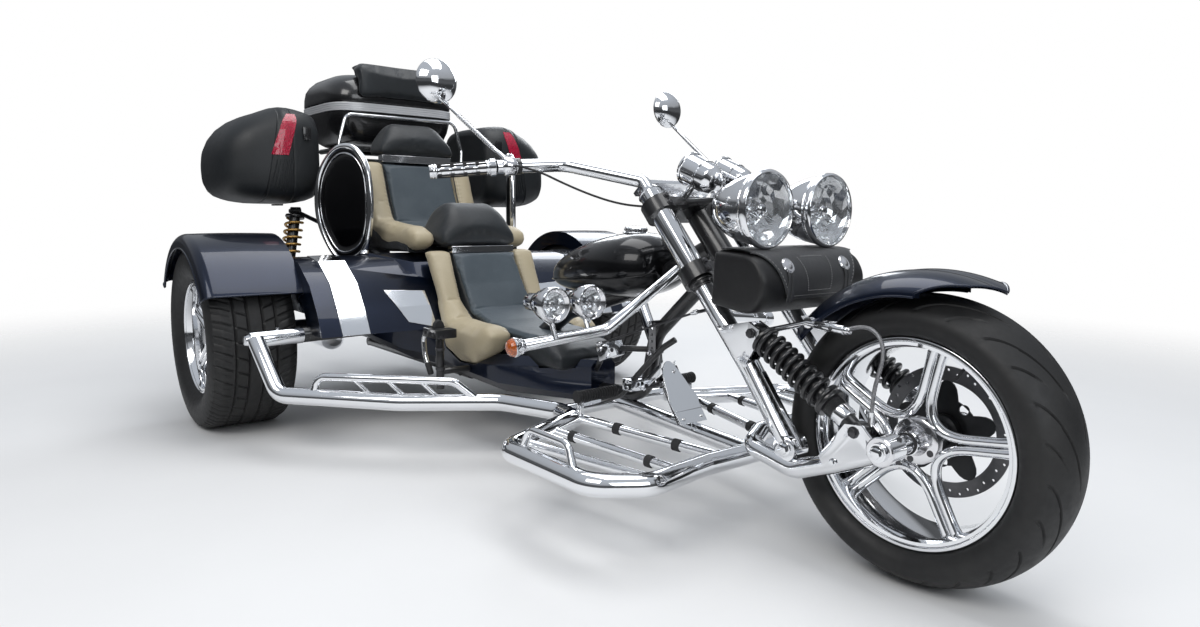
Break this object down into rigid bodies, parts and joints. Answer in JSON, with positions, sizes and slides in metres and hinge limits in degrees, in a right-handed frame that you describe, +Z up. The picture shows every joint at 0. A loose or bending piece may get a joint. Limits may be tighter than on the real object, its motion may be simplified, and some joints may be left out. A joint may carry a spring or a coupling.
{
  "type": "motorized trike",
  "caption": "Three-wheeled touring trike with a raked leading-link fork, two stepped bucket seats, wide rear mudguards, foot rails, a top case and two side cases.",
  "frame": {"origin": "on the ground, under the middle of the length and width", "axes": "+X forward, +Y to the rider's left, +Z up"},
  "size_m": [3.4199, 2, 1.44],
  "materials": {
    "chrome": "polished",
    "black_metal": "gloss",
    "navy_paint": "gloss",
    "black_paint": "gloss",
    "polished_plate": "polished",
    "grey_leather": "satin",
    "black_leather": "satin",
    "cream_leather": "satin",
    "case_plastic": "matte",
    "gloss_black": "gloss",
    "red_lens": "gloss",
    "amber_lens": "gloss",
    "clear_glass": "gloss",
    "tyre": "matte",
    "rubber": "matte",
    "steel": "satin",
    "cast_metal": "matte"
  },
  "bodies": {
    "chassis": {"seat_panels": "grey_leather", "seat_bolsters": "cream_leather", "seat_trim": "chrome", "headrests": "black_leather", "rider_seat": "black_leather", "passenger_seat": "black_leather", "body_tub": "navy_paint", "polished_plates": "polished_plate", "fuel_tank": "black_paint", "rear_fenders": "navy_paint", "top_case_base": "gloss_black", "top_case_band": "chrome", "side_case_bases": "case_plastic", "frame_tubes": "black_metal", "foot_rails": "chrome", "foot_pegs": "rubber", "foot_pedal": "polished_plate", "hand_brake": "black_metal", "grab_rails": "chrome", "grab_panels": "gloss_black", "light_bars": "chrome", "driving_lamps": "chrome", "indicators": "amber_lens", "tail_lamps": "red_lens", "lamp_brackets": "black_metal", "engine_block": "cast_metal", "rear_axle": "black_metal", "rear_shocks": "steel", "exhausts": "chrome", "rear_rack": "black_metal", "plate_holder": "black_metal"},
    "fork": {"fork_legs": "chrome", "fork_clamps": "black_metal", "front_link": "chrome", "front_shocks": "black_metal", "front_fender": "navy_paint", "handlebar": "chrome", "hand_grips": "chrome", "mirrors": "chrome", "headlamps": "chrome", "headlamp_lenses": "clear_glass", "gauge_pods": "chrome", "tool_roll": "black_leather", "brake_hose": "steel", "control_cable": "rubber"},
    "front_wheel": {"front_tyre": "tyre", "front_rim": "chrome", "front_disc": "steel"},
    "rear_wheel_right": {"rear_tyre_right": "tyre", "rear_rim_right": "chrome"},
    "rear_wheel_left": {"rear_tyre_left": "tyre", "rear_rim_left": "chrome"},
    "top_lid": {"top_case_lid": "gloss_black", "top_case_pad": "black_leather"},
    "side_lid_right": {"side_case_lid_right": "case_plastic", "side_case_reflector_right": "red_lens"},
    "side_lid_left": {"side_case_lid_left": "case_plastic", "side_case_reflector_left": "red_lens"}
  },
  "joints": [
    {"name": "steering", "type": "hinge", "parent": "chassis", "child": "fork", "pos_m": [0.827, 0, 0.647], "axis": [-0.66, 0, 0.7513], "range_deg": [-32, 32]},
    {"name": "front_wheel_spin", "type": "hinge", "parent": "fork", "child": "front_wheel", "pos_m": [1.39, 0, 0.32], "axis": [0, 1, 0], "continuous": true},
    {"name": "rear_wheel_right_spin", "type": "hinge", "parent": "chassis", "child": "rear_wheel_right", "pos_m": [-0.91, -0.837, 0.336], "axis": [0, 1, 0], "continuous": true},
    {"name": "rear_wheel_left_spin", "type": "hinge", "parent": "chassis", "child": "rear_wheel_left", "pos_m": [-0.91, 0.837, 0.336], "axis": [0, 1, 0], "continuous": true},
    {"name": "top_lid_hinge", "type": "hinge", "parent": "chassis", "child": "top_lid", "pos_m": [-1.182, 0, 1.286], "axis": [0, 1, 0], "range_deg": [0, 62]},
    {"name": "side_lid_right_hinge", "type": "hinge", "parent": "chassis", "child": "side_lid_right", "pos_m": [-1.335, -0.52, 0.826], "axis": [1, 0, 0], "range_deg": [0, 70]},
    {"name": "side_lid_left_hinge", "type": "hinge", "parent": "chassis", "child": "side_lid_left", "pos_m": [-1.335, 0.52, 0.826], "axis": [-1, 0, 0], "range_deg": [0, 70]}
  ]
}
